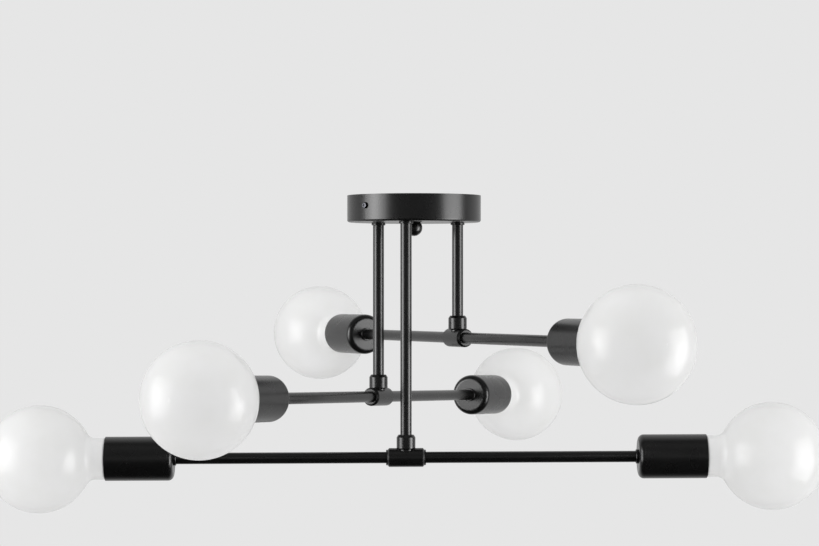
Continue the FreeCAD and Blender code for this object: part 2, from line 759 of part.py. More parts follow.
def cups(arm):
    """The two lamp cups of an arm, and the collars and nuts that clamp them to their rods."""
    nuts = []
    for end in ENDS:
        cup = turned(f"{arm}_{end}_cup_shell", [
            ("tube_radius", "0"), (CUP_RADIUS, "0"), (CUP_RADIUS, "cup_length"),
            (CUP_BORE, "cup_length"), (CUP_BORE, "cup_wall"), ("tube_radius", "cup_wall")])
        rounded(cup, f"{arm}_{end}_cup_outer_round", "cup_edge", [(CUP_RADIUS, "0")])
        rounded(cup, f"{arm}_{end}_cup_inner_round", "cup_edge - cup_wall", [(CUP_BORE, "cup_wall")])
        place(node(f"{arm}_cup_{end}", cup), *end_place(arm, end, "arm_reach"))
        collar = ring(f"{arm}_{end}_cup_collar", "tube_radius", "collar_radius", "(-collar_height)",
                      "collar_height", "collar_bevel")
        nut = hex_nut(f"{arm}_{end}_cup_nut", "tube_nut_flats", "tube_radius", "cup_wall", "tube_nut_height")
        nuts += [place(piece, *end_place(arm, end, "arm_reach")) for piece in (collar, nut)]
    group(f"{arm}_cup_nuts", nuts)


def holders(arm):
    """The two lampholders of an arm: each an insulating insert, a screw shell and a contact leaf."""
    metal = []
    socket = "tube_radius + holder_play"
    socket_end = "cup_thread + rod_tip_gap"
    for end in ENDS:
        insert = turned(f"{arm}_{end}_insert", [
            (socket, HOLDER_START), (f"{HOLDER_RADIUS} - holder_bevel", HOLDER_START),
            (HOLDER_RADIUS, f"{HOLDER_START} + holder_bevel"), (HOLDER_RADIUS, HOLDER_END),
            (HOLDER_BORE, HOLDER_END), (HOLDER_BORE, "holder_floor"), ("0", "holder_floor"), ("0", socket_end),
            (socket, socket_end)])
        cores = [("0", offset, "core_radius + core_play") for offset in ("-core_offset", "core_offset")]
        drilled(insert, f"{arm}_{end}_core_holes", "XY_Plane", cores, "core_hole_end", reverse=True)
        place(node(f"{arm}_holder_{end}", insert), *end_place(arm, end, "arm_reach"))
        inner = thread_points("holder_floor + shell_start", SHELL_ROOT, SHELL_CREST)
        outer = thread_points("holder_floor + shell_start", f"{SHELL_ROOT} + shell_sheet",
                              f"{SHELL_CREST} + shell_sheet")
        shell = turned(f"{arm}_{end}_shell", [
            ("shell_lip_radius", "holder_floor"), (f"{SHELL_ROOT} + shell_sheet", "holder_floor")] + outer
            + inner[::-1] + [(SHELL_ROOT, "holder_floor + shell_sheet"),
                             ("shell_lip_radius", "holder_floor + shell_sheet")])
        top = "(bulb_tip - leaf_gap)"
        leaf = padded(f"{arm}_{end}_leaf", "XZ_Plane", [
            ("-leaf_foot", "holder_floor"), ("-leaf_bend", "holder_floor"), ("0", f"{top} - leaf_sheet"),
            ("leaf_tip", f"{top} - leaf_sheet"), ("leaf_tip", top), ("-leaf_crook", top),
            ("-leaf_bend - leaf_crook", "holder_floor + leaf_sheet"),
            ("-leaf_foot", "holder_floor + leaf_sheet")], "leaf_width")
        metal += [place(piece, *end_place(arm, end, "arm_reach")) for piece in (shell, leaf)]
    group(f"{arm}_screw_shells", metal)


def bulb(arm, end):
    """A globe bulb: hollow opal glass, and a screw cap with its insulator and centre contact."""
    name = f"{arm}_{end}"
    tail = f"({CAP_BORE} - tail_play)"
    tail_start = "(cap_length - tail_depth)"
    throat = f"({NECK_RADIUS} - glass_wall)"
    inside = "(globe_radius - glass_wall)"
    inside_seam = f"{GLOBE_CENTRE} - sqrt({inside} * {inside} - {throat} * {throat})"
    glass = turned(f"{name}_glass", [
        ("0", f"{GLOBE_CENTRE} + globe_radius"), ("0", tail_start), (tail, tail_start), (tail, "cap_length"),
        ("cap_crest", "cap_length"), (NECK_RADIUS, "cap_length + neck_flare"),
        (NECK_RADIUS, GLOBE_SEAM)], arc_centre=GLOBE_CENTRE)
    rounded(glass, f"{name}_neck_blend", "neck_blend", [(NECK_RADIUS, GLOBE_SEAM)])
    sketch = new_sketch(glass, f"{name}_inside", "XZ_Plane")
    draw_outline(sketch, [
        ("0", f"{GLOBE_CENTRE} + {inside}"), ("0", f"{tail_start} - overrun"),
        (f"{tail} - glass_wall", f"{tail_start} - overrun"),
        (f"{tail} - glass_wall", "cap_length + glass_wall"),
        (throat, "cap_length + neck_flare + throat_lift"), (throat, inside_seam)],
        arc_centre=GLOBE_CENTRE)
    groove = glass.newObject("PartDesign::Groove", f"{name}_hollow")
    groove.Profile = sketch
    groove.ReferenceAxis = (sketch, ["V_Axis"])
    doc.recompute()
    where = end_place(arm, end, "arm_reach + bulb_tip")
    place(node(f"{name}_globe", glass), *where)
    thread_start = f"({CAP_RIM} - {THREAD_TURNS} * thread_pitch)"
    shell = turned(f"{name}_cap_shell", [(CAP_BORE, "insulator_top"), (CAP_ROOT, "insulator_top")]
                   + thread_points(thread_start, CAP_ROOT, "cap_crest")
                   + [("cap_crest", "cap_length"), (CAP_BORE, "cap_length")])
    insulator = turned(f"{name}_insulator", [
        ("0", "button_height"), ("button_radius", "button_height"), (CAP_BORE, "insulator_top"),
        (CAP_BORE, "insulator_top + insulator_plug"), ("0", "insulator_top + insulator_plug")])
    button = turned(f"{name}_button", [
        ("0", "0"), ("button_radius - button_bevel", "0"), ("button_radius", "button_bevel"),
        ("button_radius", "button_height"), ("0", "button_height")])
    group(f"{name}_cap", [place(piece, *where) for piece in (shell, insulator, button)])


def arm_cables(arm):
    """The jacketed cable in a stem and the four cores that leave it in the tee, two into each rod."""
    drop, angle, direction, droop = ARMS[arm]
    radians = math.radians(value(angle))
    circle = value(STEM_CIRCLE)
    foot = FreeCAD.Vector(circle * math.cos(radians), circle * math.sin(radians), -value(drop))
    up = FreeCAD.Vector(0, 0, 1)
    top = FreeCAD.Vector(foot.x, foot.y, value(CABLE_START))
    jacket_end = foot + up * value("jacket_end")
    solids = [Part.makeCylinder(value("jacket_radius"), top.z - jacket_end.z, jacket_end, up)]
    sloped = FreeCAD.Rotation(FreeCAD.Vector(0, 1, 0), value(droop))
    frame = FreeCAD.Placement(foot, FreeCAD.Rotation(up, value(direction)) * sloped)
    offset = value("core_offset")
    for way in (-1, 1):
        for side in (-1, 1):
            corner = frame.multVec(FreeCAD.Vector(way * offset, side * offset, 0))
            tip = frame.multVec(FreeCAD.Vector(way * value("arm_reach + core_hole_end"), side * offset, 0))
            start = FreeCAD.Vector(corner.x, corner.y, jacket_end.z)
            solids.append(pipe([start, corner, tip], value("core_radius"), value("core_bend")))
    made(f"{arm}_cables", Part.makeCompound(solids))


canopy()
mounting_strap()
centre_fastening()
side_screws()
terminal_block()
earthing()
canopy_cables()
for arm_name in ARMS:
    stem(arm_name)
    tee(arm_name)
    rods(arm_name)
    cups(arm_name)
    holders(arm_name)
    arm_cables(arm_name)
    for end_name in ENDS:
        bulb(arm_name, end_name)
doc.recompute()

for thing in doc.Objects:
    if "Invalid" in thing.State or "Error" in thing.State:
        raise RuntimeError(f"{thing.Label} failed: {thing.State}")
for thing in nodes:
    if thing.Shape.isNull() or not thing.Shape.isValid() or not thing.Shape.Solids:
        raise RuntimeError(f"{thing.Label} has no valid solid")
os.makedirs("parts", exist_ok=True)
for thing in nodes:
    thing.Shape.exportStep(f"parts/{thing.Label}.step")
print(len(nodes), "sub-parts,", sum(len(thing.Shape.Solids) for thing in nodes), "solids")
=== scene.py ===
"""Looks of the ceiling light: black coated metal, opal globes, and what canopy and cups hold."""
import json
import math

import bmesh
import bpy
from mathutils import Matrix, Vector


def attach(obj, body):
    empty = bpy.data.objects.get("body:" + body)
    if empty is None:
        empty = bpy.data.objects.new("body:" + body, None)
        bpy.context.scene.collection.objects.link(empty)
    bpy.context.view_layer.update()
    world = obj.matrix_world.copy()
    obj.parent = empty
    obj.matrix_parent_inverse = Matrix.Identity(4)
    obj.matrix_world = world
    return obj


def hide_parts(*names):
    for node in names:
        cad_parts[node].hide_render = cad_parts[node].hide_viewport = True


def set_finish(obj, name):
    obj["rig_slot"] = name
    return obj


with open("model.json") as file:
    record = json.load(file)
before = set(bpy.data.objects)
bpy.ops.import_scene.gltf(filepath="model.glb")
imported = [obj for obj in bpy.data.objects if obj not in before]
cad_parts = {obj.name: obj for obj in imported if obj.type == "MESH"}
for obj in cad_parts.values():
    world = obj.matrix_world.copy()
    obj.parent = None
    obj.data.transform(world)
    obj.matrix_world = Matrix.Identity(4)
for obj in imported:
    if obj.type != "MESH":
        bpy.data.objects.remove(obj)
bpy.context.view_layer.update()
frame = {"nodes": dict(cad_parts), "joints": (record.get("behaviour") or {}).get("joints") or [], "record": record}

MM = 0.001
UP = Vector((0, 0, 1))
JOINTS = {joint["name"]: joint for joint in frame["joints"]}
# How far each arm hangs under the ceiling, in millimetres as every length below
DROPS = {"upper": 128, "middle": 181.8, "lower": 232.3}
ENDS = {"left": -1, "right": 1}
# From the middle of a tee to a cup's closed end, and from there to the bulb's contact
ARM_REACH, BULB_TIP = 204.5, 28
THREAD_PITCH, THREAD_TURNS, THREAD_STEPS = 3.63, 5, 10
SIDES = 96
# The photograph's width in pixels, and the camera that was fitted to it: its place in
# millimetres, its angles in degrees, its focal length in pixels and its reach in metres
PHOTO_WIDTH = 819
CAMERA_PLACE = (-11.824, -2199.665, -80.751)
CAMERA_PITCH, CAMERA_YAW = 0.292, 0.202
CAMERA_FOCUS_PX, CAMERA_REACH = 2448.355, 60
SENSOR_WIDTH = 36
# The strap's frame is turned about Z: in it the block stands on +X, the earth screw on -X
STRAP = Matrix.Rotation(math.radians(-136), 4, "Z")
BLOCK_SIDE, BLOCK_MIDDLE, BLOCK_END = 14, 14, 20
CABLE_LEVEL, CABLE_START = -9, -14.6
JACKET_RADIUS, CORE_RADIUS, EARTH_RADIUS = 2.4, 0.75, 0.9
EARTH_LEVEL, EARTH_SCREW, TAG_TOP, TAG_SHEET = -3.7, -22, -2, 0.8
# Points of a mesh that lie nearer to each other than this are merged
MERGED = 0.01


def linear(code):
    """An sRGB hex colour as the linear numbers that a shader takes, opaque."""
    parts = [int(code[start:start + 2], 16) / 255 for start in (1, 3, 5)]
    return [part / 12.92 if part <= 0.04045 else ((part + 0.055) / 1.055) ** 2.4
            for part in parts] + [1]


def add(tree, kind, inputs=(), **settings):
    """Adds a node with its settings, and sets or links its inputs by name or number."""
    made = tree.nodes.new(kind)
    for name, value in settings.items():
        setattr(made, name, value)
    for name, value in dict(inputs).items():
        if isinstance(value, bpy.types.NodeSocket):
            tree.links.new(value, made.inputs[name])
        else:
            made.inputs[name].default_value = value
    return made


def new_material(name, **constants):
    """A node material whose shader already has its constant values."""
    material = bpy.data.materials.new(name)
    material.use_nodes = True
    shader = material.node_tree.nodes["Principled BSDF"]
    for socket, value in constants.items():
        shader.inputs[socket.replace("_", " ")].default_value = value
    return material, material.node_tree, shader


def grain(tree, size_mm, detail):
    """How a piece varies from place to place: noise of a real size in its own coordinates."""
    place = add(tree, "ShaderNodeTexCoord").outputs["Object"]
    return add(tree, "ShaderNodeTexNoise", {
        "Vector": place, "Scale": 1 / (size_mm * MM), "Detail": detail}).outputs["Fac"]


def tones(tree, shader, factor, dark, light):
    """Gives a finish its colour, which goes from one tone to another."""
    mixed = add(tree, "ShaderNodeMix", {
        "Factor": factor, 6: linear(dark), 7: linear(light)}, data_type="RGBA")
    tree.links.new(mixed.outputs[2], shader.inputs["Base Color"])


def mottle(tree, shader, dark, light, size_mm, detail=2):
    """Gives a finish two tones that drift into each other over a real distance."""
    tone = add(tree, "ShaderNodeMapRange", {
        "Value": grain(tree, size_mm, detail), "From Min": 0.3, "From Max": 0.7})
    tones(tree, shader, tone.outputs["Result"], dark, light)


def gloss(tree, shader, low, high, size_mm, detail=2, clear=0.3):
    """Gives a finish a roughness that drifts between two values over a real distance."""
    rough = add(tree, "ShaderNodeMapRange", {
        "Value": grain(tree, size_mm, detail), "From Min": clear, "From Max": 1 - clear,
        "To Min": low, "To Max": high})
    tree.links.new(rough.outputs["Result"], shader.inputs["Roughness"])


def black_powder_coat():
    """Powder coat on steel, baked: an even black film, half glossy, with a faint orange peel."""
    material, tree, shader = new_material("black_powder_coat", IOR=1.52)
    mottle(tree, shader, "#090909", "#0c0c0c", 14)
    gloss(tree, shader, 0.268, 0.282, 20, 0)
    # Orange peel of a powder film waves every 1 to 3 mm, a few micrometres deep
    peel = add(tree, "ShaderNodeBump", {
        "Height": grain(tree, 2.2, 0), "Strength": 0.015, "Distance": 0.03 * MM})
    tree.links.new(peel.outputs["Normal"], shader.inputs["Normal"])
    return material


def opal_glass():
    """Opal glass, blown: white right through, with a fire-polished face, a little hazy."""
    material, tree, shader = new_material("opal_glass", IOR=1.5, Specular_IOR_Level=0.2)
    mottle(tree, shader, "#f1f1f0", "#f4f4f4", 30)
    gloss(tree, shader, 0.16, 0.22, 12)
    return material


def striped_sheath():
    """Earth wire's PVC: green, with a yellow stripe along each side of a wire that lies level."""
    material, tree, shader = new_material("green_yellow_pvc", IOR=1.5, Roughness=0.42)
    place = add(tree, "ShaderNodeSeparateXYZ", {
        0: add(tree, "ShaderNodeTexCoord").outputs["Object"]})
    height = add(tree, "ShaderNodeMath", {
        0: place.outputs["Z"], 1: EARTH_LEVEL * MM}, operation="SUBTRACT")
    distance = add(tree, "ShaderNodeMath", {0: height.outputs[0]}, operation="ABSOLUTE")
    # The stripe ends 0.3 to 0.4 mm above and below the wire's middle
    stripe = add(tree, "ShaderNodeMapRange", {
        "Value": distance.outputs[0], "From Min": 0.3 * MM, "From Max": 0.4 * MM,
        "To Min": 1.0, "To Max": 0.0})
    tones(tree, shader, stripe.outputs["Result"], "#2f7d2c", "#d9c22e")
    return material


def metal(name, dark, light, low, high, grain_mm):
    """A bare or plated metal, whose tone and gloss drift over a real distance."""
    material, tree, shader = new_material(name, Metallic=1.0)
    mottle(tree, shader, dark, light, grain_mm, 3)
    gloss(tree, shader, low, high, grain_mm / 2, clear=0.2)
    return material


def moulded(name, dark, light, low, high, grain_mm):
    """A moulded or drawn plastic, or pressed black glass, with a faint mottle."""
    material, tree, shader = new_material(name, IOR=1.5)
    mottle(tree, shader, dark, light, grain_mm)
    gloss(tree, shader, low, high, grain_mm / 3, 3)
    return material


COAT = black_powder_coat()
OPAL = opal_glass()
# Zinc, plated bright on strap, stud and nuts: a bluish silver that blurs what it mirrors
ZINC = metal("bright_zinc_plate", "#bcbfc3", "#c8cbce", 0.32, 0.38, 5)
# Brass, rolled or turned and left bare: a warm yellow with soft highlights
BRASS = metal("plain_brass", "#cda256", "#d8b067", 0.27, 0.32, 5)
# Nickel on a rolled cap: a warm silver, brighter along the crests of the thread
NICKEL = metal("rolled_nickel_cap", "#c3c0b9", "#cdcac3", 0.26, 0.31, 5)
# Zinc passivated black on small screws: a dark grey that still glints as metal
BLACK_SCREW = metal("black_passivated_steel", "#4b4c50", "#5a5b60", 0.2, 0.28, 2)
# Phenolic, moulded for lampholders: near black, with a dull sheen
PHENOLIC = moulded("moulded_phenolic", "#0f0f10", "#17171a", 0.38, 0.48, 4)
# Polyamide, moulded for the terminal block: a milky white, satin
POLYAMIDE = moulded("moulded_polyamide", "#dedace", "#ebe7dc", 0.42, 0.52, 5)
# PVC, drawn over cables and cores: even colours with a soft, wide highlight
SHEATH = moulded("pvc_cable_sheath", "#cfcfcb", "#dbdbd7", 0.4, 0.5, 8)
EARTH = striped_sheath()
BROWN = moulded("brown_pvc", "#5b3a22", "#6a4429", 0.4, 0.5, 6)
BLUE = moulded("blue_pvc", "#2f5f9e", "#3a6bab", 0.4, 0.5, 6)
# Black glass, pressed into a cap's end: deep and shiny
CAP_GLASS = moulded("pressed_black_glass", "#0b0b10", "#15151b", 0.12, 0.2, 3)
# Tin solder on a contact, and tin plate: a dull grey silver
SOLDER = metal("tin_solder", "#aeb0b2", "#bfc1c2", 0.34, 0.42, 1.5)
# Phosphor bronze, rolled for springs: redder than brass
BRONZE = metal("phosphor_bronze_spring", "#bd8a4f", "#c89457", 0.27, 0.32, 4)
SLOTS = {"black_coat": COAT, "black_screw": BLACK_SCREW, "zinc": ZINC, "brass_metal": BRASS,
         "cap_metal": NICKEL, "holder_plastic": PHENOLIC, "block_plastic": POLYAMIDE,
         "cable_jacket": SHEATH, "earth_sheath": EARTH, "opal_glass": OPAL}
# The two cores of every cable, and the side of its middle that each lies on
CORES = (("brown", BROWN, 1), ("blue", BLUE, -1))


def finish_nodes():
    """Gives every CAD node the finish of its material slot."""
    for entry in frame["record"]["subparts"]:
        node = frame["nodes"][entry["node"]]
        node.data.materials.clear()
        node.data.materials.append(SLOTS[entry["material_slot"]])
        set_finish(node, entry["material_slot"])


def pick(*pieces):
    """Selects these pieces alone, and makes the first one active."""
    bpy.ops.object.select_all(action="DESELECT")
    for piece in pieces:
        piece.select_set(True)
    if pieces:
        bpy.context.view_layer.objects.active = pieces[0]


def edit(piece):
    """Opens one piece in edit mode with all of it selected."""
    pick(piece)
    bpy.ops.object.mode_set(mode="EDIT")
    bpy.ops.mesh.select_all(action="SELECT")


def close_edit():
    """Leaves edit mode, with the faces turned outwards."""
    bpy.ops.mesh.select_all(action="SELECT")
    bpy.ops.mesh.normals_make_consistent(inside=False)
    bpy.ops.object.mode_set(mode="OBJECT")


def lathed(name, profile, sides=SIDES, closed=False):
    """A piece turned about Z: a circle, extruded and widened from each point to the next.

    The profile gives the radius and the height of each point in millimetres."""
    radius, height = profile[0]
    pick()
    bpy.ops.mesh.primitive_circle_add(
        vertices=sides, radius=radius * MM, location=(0, 0, height * MM))
    piece = bpy.context.object
    piece.name = name
    bpy.ops.object.transform_apply(location=True, rotation=False, scale=False)
    edit(piece)
    for wider, higher in profile[1:]:
        bpy.ops.mesh.extrude_region_move(
            TRANSFORM_OT_translate={"value": (0, 0, (higher - height) * MM)})
        bpy.ops.transform.resize(
            value=(wider / radius, wider / radius, 1), center_override=(0, 0, higher * MM))
        radius, height = wider, higher
    if closed:
        bpy.ops.mesh.select_all(action="SELECT")
        bpy.ops.mesh.fill_holes(sides=0)
    close_edit()
    return piece


def apply_modifier(piece, kind, **settings):
    """Adds a modifier with its settings and applies it."""
    bpy.context.view_layer.objects.active = piece
    modifier = piece.modifiers.new(kind.lower(), kind)
    for name, value in settings.items():
        setattr(modifier, name, value)
    bpy.ops.object.modifier_apply(modifier=modifier.name)


def sheet_metal(piece, thickness):
    """Gives a skin its thickness, half to each side."""
    apply_modifier(piece, "SOLIDIFY", thickness=thickness * MM, offset=0)
    edit(piece)
    close_edit()


def merge_points(piece):
    """Merges the points of a piece that lie on each other."""
    edit(piece)
    bpy.ops.mesh.remove_doubles(threshold=MERGED * MM)
    close_edit()


def cut_thread(piece, start, end, pitch, depth, wave):
    """Moves the points between two heights out along a right-handed screw line.

    The thread runs out over its first and last turn."""
    for vertex in piece.data.vertices:
        x, y, z = vertex.co / MM
        if start <= z <= end:
            phase = (z - start) / pitch - math.atan2(y, x) / (2 * math.pi)
            taper = min(1, (z - start) / pitch, (end - z) / pitch)
            radius = math.hypot(x, y)
            factor = (radius + depth * taper * wave(phase)) / radius
            vertex.co.x *= factor
            vertex.co.y *= factor


def rolled(phase):
    """The round wave of a thread that is rolled into sheet metal."""
    return 0.5 - 0.5 * math.cos(2 * math.pi * phase)


def sharp(phase):
    """The V of a thread that is cut into a rod."""
    return 2 * abs(phase - math.floor(phase) - 0.5)


def rings(radius, start, end, step):
    """Radii and heights of a straight stretch in even steps."""
    count = round((end - start) / step)
    return [(radius, start + (end - start) * number / count) for number in range(count + 1)]


def finished(piece, material, slot, degrees=40):
    """Smooths a new piece up to an angle, and gives it its finish and slot."""
    pick(piece)
    bpy.ops.object.shade_smooth_by_angle(angle=math.radians(degrees))
    piece.data.materials.clear()
    piece.data.materials.append(material)
    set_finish(piece, slot)
    return piece


def fitted(pattern, name, place, body, *nodes):
    """A copy of a pattern piece with its own mesh, in its place on its body."""
    mesh = pattern.data.copy()
    mesh.transform(place)
    piece = bpy.data.objects.new(name, mesh)
    bpy.context.scene.collection.objects.link(piece)
    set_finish(piece, pattern["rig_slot"])
    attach(piece, body)
    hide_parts(*nodes)
    return piece


def arm_frame(arm):
    """The middle of an arm's tee, the way to its right end, and the level way across it."""
    x, y, _ = JOINTS[f"{arm}_swivel"]["pos_m"]
    right = Vector(JOINTS[f"{arm}_right_unscrew"]["axis"])
    return Vector((x, y, -DROPS[arm] * MM)), right, UP.cross(right).normalized()


def end_frame(arm, end, reach):
    """A place on an arm with Z pointing out to that end."""
    tee, right, across = arm_frame(arm)
    way = right * ENDS[end]
    place = Matrix((across.cross(way), across, way)).transposed().to_4x4()
    place.translation = tee + way * reach * MM
    return place


def bulb_caps():
    """The bulbs' screw caps: a rolled shell, a black insulator and a soldered contact."""
    thread_end = 25.4
    thread_start = thread_end - THREAD_TURNS * THREAD_PITCH
    root, crest, sheet, skirt = 12, 13.1, 0.3, 12.9
    step = THREAD_PITCH / THREAD_STEPS
    # The last half turn widens smoothly from the thread's root to the skirt at the glass
    flare_start = thread_end - THREAD_PITCH / 2
    flare = [(root + (skirt - root) * (1 - math.cos(
        math.pi * (height - flare_start) / (thread_end - flare_start))) / 2, height)
        for _, height in rings(root, flare_start, thread_end, step)[1:]]
    shell = lathed("cap_shell", [(11.2, 7.15), (11.75, 7.05), (root, 7.2)]
                   + rings(root, thread_start, flare_start, step)[1:] + flare
                   + [(skirt, 26.2), (skirt, 26.95)])
    cut_thread(shell, thread_start, thread_end, THREAD_PITCH, crest - root - sheet / 2, rolled)
    sheet_metal(shell, sheet)
    finished(shell, NICKEL, "cap_metal", 60)
    insulator = lathed("cap_insulator", [
        (4.3, 1.7), (4.9, 1.75), (5.4, 2.05), (6.6, 2.6), (8.2, 3.7), (9.8, 5.1), (10.9, 6.3),
        (11.3, 6.9), (11.4, 8.6)], closed=True)
    finished(insulator, CAP_GLASS, "holder_plastic", 50)
    contact = lathed("cap_contact", [
        (0.5, 0.02), (1.3, 0.07), (1.9, 0.22), (2.2, 0.42), (3.7, 0.5), (4.2, 0.7), (4.4, 1.1),
        (4.4, 1.9)], closed=True)
    finished(contact, SOLDER, "cap_metal", 50)
    for arm in DROPS:
        for end in ENDS:
            bulb = f"{arm}_{end}"
            place = end_frame(arm, end, ARM_REACH + BULB_TIP)
            for pattern in (shell, insulator, contact):
                fitted(pattern, f"{bulb}_{pattern.name}", place, f"{bulb}_bulb", f"{bulb}_cap")
    return shell, insulator, contact


def contact_leaf(floor):
    """The sprung leaf under a bulb's contact: a strip, bent up over the holder's floor."""
    width, length, foot, sheet, rounding = 5, 2, -6.4, 0.5, 0.12
    across, up = foot + length, floor + 0.3
    bends = [(-2.6, up), (-1.9, floor + 0.55), (-0.7, floor + 2.95), (0, floor + 3.4),
             (1.7, floor + 3.4), (2.4, floor + 3.1)]
    pick()
    bpy.ops.mesh.primitive_plane_add(size=MM, location=(0, 0, 0))
    leaf = bpy.context.object
    leaf.name = "contact_leaf"
    edit(leaf)
    bpy.ops.transform.resize(value=(length, width, 1), center_override=(0, 0, 0))
    bpy.ops.transform.translate(value=((foot + length / 2) * MM, 0, up * MM))
    # Only the strip's front edge goes on from bend to bend
    mesh = bmesh.from_edit_mesh(leaf.data)
    for point in mesh.verts:
        point.select_set(point.co.x > (foot + length / 2) * MM)
    mesh.select_flush_mode()
    bmesh.update_edit_mesh(leaf.data)
    for x, z in bends:
        bpy.ops.mesh.extrude_region_move(
            TRANSFORM_OT_translate={"value": ((x - across) * MM, 0, (z - up) * MM)})
        across, up = x, z
    close_edit()
    sheet_metal(leaf, sheet)
    apply_modifier(leaf, "BEVEL", width=rounding * MM, segments=2, limit_method="ANGLE")
    return finished(leaf, BRONZE, "brass_metal", 30)


def holder_metal():
    """The lampholders' rolled screw shells, contact leaves and their rivets."""
    floor, thread_start = 24, 26
    thread_end = thread_start + THREAD_TURNS * THREAD_PITCH
    root, crest, sheet, rivet_place = 14.4, 13.5, 0.4, -4.9
    shell = lathed("screw_shell", [
        (8.2, floor + 0.25), (13.2, floor + 0.25), (14, floor + 0.45), (14.3, floor + 0.9),
        (root, floor + 1.4)] + rings(root, thread_start, thread_end, THREAD_PITCH / THREAD_STEPS))
    cut_thread(shell, thread_start, thread_end, THREAD_PITCH, crest - root, rolled)
    sheet_metal(shell, sheet)
    finished(shell, BRASS, "brass_metal", 60)
    leaf = contact_leaf(floor)
    rivet = lathed("leaf_rivet", [
        (0.2, floor + 1.1), (0.8, floor + 1), (1.2, floor + 0.8), (1.3, floor + 0.5)],
        24, closed=True)
    rivet.data.transform(Matrix.Translation((rivet_place * MM, 0, 0)))
    finished(rivet, BRASS, "brass_metal")
    for arm in DROPS:
        for end in ENDS:
            place = end_frame(arm, end, ARM_REACH)
            for pattern in (shell, leaf, rivet):
                fitted(pattern, f"{arm}_{end}_{pattern.name}", place, f"{arm}_arm",
                       f"{arm}_screw_shells")
    return shell, leaf, rivet


def centre_stud():
    """The threaded rod in the middle of the canopy."""
    root, crest, tip, length, pitch, bevel = 2.42, 3, 2, 32, 1, 0.6
    stud = lathed("threaded_stud", [(tip, -length + 0.05)]
                  + rings(root, -length + bevel, -bevel, pitch / 8) + [(tip, -0.05)],
                  32, closed=True)
    cut_thread(stud, -length + bevel, -bevel, pitch, crest - root, sharp)
    finished(stud, ZINC, "zinc", 25)
    fitted(stud, "threaded_centre_stud", Matrix(), "root", "centre_stud")
    return (stud,)


def wire(name, points, radius, material, slot, body, *nodes):
    """A round cable along a smooth line with those control points, as a mesh."""
    curve = bpy.data.curves.new(name + "_line", "CURVE")
    curve.dimensions = "3D"
    curve.bevel_depth, curve.bevel_resolution, curve.resolution_u = radius * MM, 5, 12
    curve.use_fill_caps = True
    line = curve.splines.new("NURBS")
    line.points.add(len(points) - 1)
    for point, spot in zip(line.points, points):
        point.co = (*(Vector(spot) * MM), 1)
    line.order_u, line.use_endpoint_u = 3, True
    guide = bpy.data.objects.new(name + "_guide", curve)
    bpy.context.scene.collection.objects.link(guide)
    bpy.context.view_layer.update()
    piece = bpy.data.objects.new(name, bpy.data.meshes.new_from_object(
        guide.evaluated_get(bpy.context.evaluated_depsgraph_get())))
    bpy.context.scene.collection.objects.link(piece)
    bpy.data.objects.remove(guide)
    merge_points(piece)
    finished(piece, material, slot)
    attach(piece, body)
    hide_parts(*nodes)


def spot_between(start, end, distance):
    """The point at a distance from one point towards another."""
    start, end = Vector(start), Vector(end)
    return start + (end - start).normalized() * distance


def canopy_wiring():
    """A jacketed cable from each stem to the terminal block, with its cores bared at the block."""
    bared, near, outside, beside = 4, 5.6, BLOCK_SIDE + 9, 5
    # How far a core lies from the cable's middle in the jacket, where it leaves it, and beyond
    inside, leaving, parted = 1, 1.2, 1.8
    for arm in DROPS:
        x, y, _ = STRAP.inverted() @ Vector(JOINTS[f"{arm}_swivel"]["pos_m"]) / MM
        top = (x, y, CABLE_LEVEL)
        # The corners of the cable's way, where it meets the block, and the way out from there
        if arm == "upper":
            route = [(0, outside, CABLE_LEVEL), (BLOCK_MIDDLE, outside, CABLE_LEVEL)]
            entry, way = Vector((BLOCK_MIDDLE, BLOCK_SIDE, CABLE_LEVEL)), Vector((0, 1, 0))
        elif arm == "middle":
            route = [(BLOCK_MIDDLE, -outside, CABLE_LEVEL)]
            entry, way = Vector((BLOCK_MIDDLE, -BLOCK_SIDE, CABLE_LEVEL)), Vector((0, -1, 0))
        else:
            route = [(x, beside, CABLE_LEVEL)]
            entry, way = Vector((BLOCK_END, beside, CABLE_LEVEL)), Vector((1, 0, 0))
        jacket_end = entry + way * bared
        points = [(x, y, CABLE_START), top, spot_between(top, route[0], near)] + route
        wire(f"{arm}_canopy_cable", [STRAP @ Vector(point) for point in points + [jacket_end]],
             JACKET_RADIUS, SHEATH, "cable_jacket", "root", "canopy_cables")
        for colour, material, sign in CORES:
            side = UP.cross(way) * sign
            core = [jacket_end + way + side * inside, jacket_end - way + side * leaving,
                    entry + way + side * parted, entry - way + side * parted]
            wire(f"{arm}_canopy_core_{colour}", [STRAP @ point for point in core],
                 CORE_RADIUS, material, "cable_jacket", "root", "canopy_cables")


def arm_wiring():
    """The jacketed cable in each stem, and the two cores that it sends into each rod."""
    jacket_end, core_offset, near, tip, overlap, gap = 9, 1.1, 9, 224.5, 1, 0.1
    for arm in DROPS:
        tee, right, across = arm_frame(arm)
        tee = tee / MM
        body, node = f"{arm}_arm", f"{arm}_cables"
        bottom = tee + UP * jacket_end
        top = Vector((tee.x, tee.y, CABLE_START - gap))
        wire(f"{arm}_stem_cable", [bottom, (bottom + top) / 2, top], JACKET_RADIUS, SHEATH,
             "cable_jacket", body, node)
        for end, way in ENDS.items():
            for colour, material, sign in CORES:
                beside = across * core_offset * sign
                corner = tee + right * way * core_offset + beside
                start = Vector((corner.x, corner.y, bottom.z + overlap))
                route = [start, corner, corner + right * way * near,
                         tee + right * way * tip + beside]
                wire(f"{arm}_{end}_core_{colour}", route, CORE_RADIUS, material,
                     "cable_jacket", body, node)


